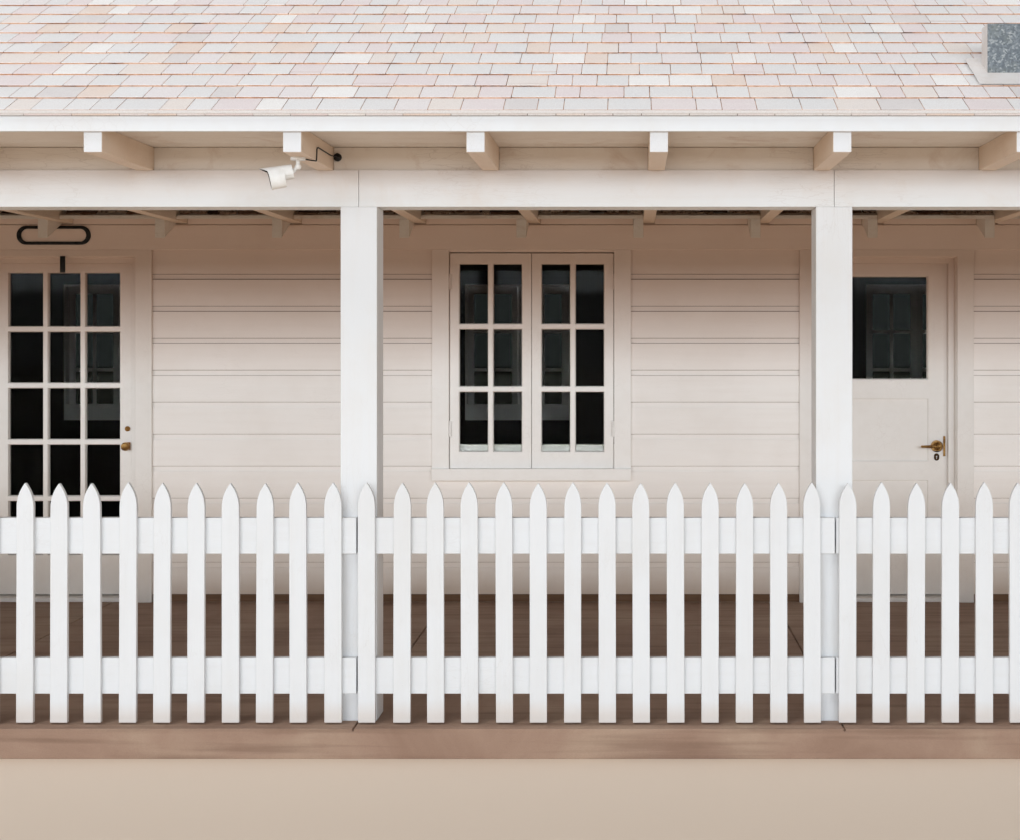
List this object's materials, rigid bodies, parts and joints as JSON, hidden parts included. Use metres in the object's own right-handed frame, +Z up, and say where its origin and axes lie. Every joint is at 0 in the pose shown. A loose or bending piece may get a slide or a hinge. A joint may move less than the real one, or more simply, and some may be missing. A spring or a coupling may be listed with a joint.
{
  "type": "bungalow with a front porch",
  "caption": "Single-storey timber bungalow: gable roof of shingles, deep post-and-beam front porch with a picket railing, glazed front doors that swing, casement windows.",
  "frame": {"origin": "On the ground under the middle of the roof, at the centre of the bounding box's base.", "axes": "+X runs along the front to the right, -Y faces the viewer of the porch, +Z is up."},
  "size_m": [12.495, 9.3452, 5.2614],
  "materials": {
    "concrete": "worn cast concrete",
    "floor_boards": "sealed boards",
    "trim_paint": "white painted timber",
    "wall_paint": "warm white painted siding",
    "porch_paint": "weathered white painted timber",
    "bare_boards": "bare sawn boards",
    "shingle": "weathered fibre-cement shingles",
    "glass": "clear window glass",
    "brass": "aged brass",
    "hinge_steel": "plain steel",
    "galvanised": "galvanised sheet",
    "camera_plastic": "moulded white plastic",
    "cable_rubber": "black cable sheath",
    "black_iron": "black painted iron"
  },
  "bodies": {
    "root": {"foundation": "concrete", "house_floor": "floor_boards", "porch_floor": "concrete", "porch_posts": "trim_paint", "porch_beam": "trim_paint", "end_beams": "trim_paint", "roof_joists": "trim_paint", "joist_blocking": "porch_paint", "soffit_boards": "porch_paint", "fascia_boards": "trim_paint", "roof_rafters": "porch_paint", "ridge_board": "porch_paint", "front_roof_boards": "bare_boards", "back_roof_boards": "bare_boards", "front_shingles": "shingle", "back_shingles": "shingle", "ridge_cap": "shingle", "barge_boards": "trim_paint", "old_rafters": "porch_paint", "old_roof_boards": "bare_boards", "ceiling_boards": "wall_paint", "front_wall_left": "wall_paint", "front_wall_middle": "wall_paint", "front_wall_right": "wall_paint", "wall_over_left_door": "wall_paint", "wall_over_right_door": "wall_paint", "left_end_wall": "wall_paint", "right_end_wall": "wall_paint", "back_wall": "wall_paint", "frieze_boards": "porch_paint", "corner_boards": "trim_paint", "window_frames": "trim_paint", "window_sashes": "trim_paint", "window_glass": "glass", "left_door_frame": "trim_paint", "right_door_frame": "trim_paint", "hinge_plates": "hinge_steel", "picket_railing": "trim_paint", "roof_vent_box": "galvanised", "window_hinges": "trim_paint", "security_camera": "camera_plastic", "camera_cable": "cable_rubber", "door_sign": "black_iron"},
    "left_door": {"left_door_leaf": "trim_paint", "left_door_glass": "glass", "left_door_knob": "brass", "left_door_hinges": "hinge_steel"},
    "right_door": {"right_door_leaf": "trim_paint", "right_door_glass": "glass", "right_door_lever": "brass", "right_door_hinges": "hinge_steel"}
  },
  "joints": [
    {"name": "left_door_swing", "type": "hinge", "parent": "root", "child": "left_door", "pos_m": [-2.7335, -1.3095, 1.125], "axis": [0, 0, 1], "range_deg": [0, 95]},
    {"name": "right_door_swing", "type": "hinge", "parent": "root", "child": "right_door", "pos_m": [2.2155, -1.3095, 1.125], "axis": [0, 0, 1], "range_deg": [0, 95]}
  ]
}
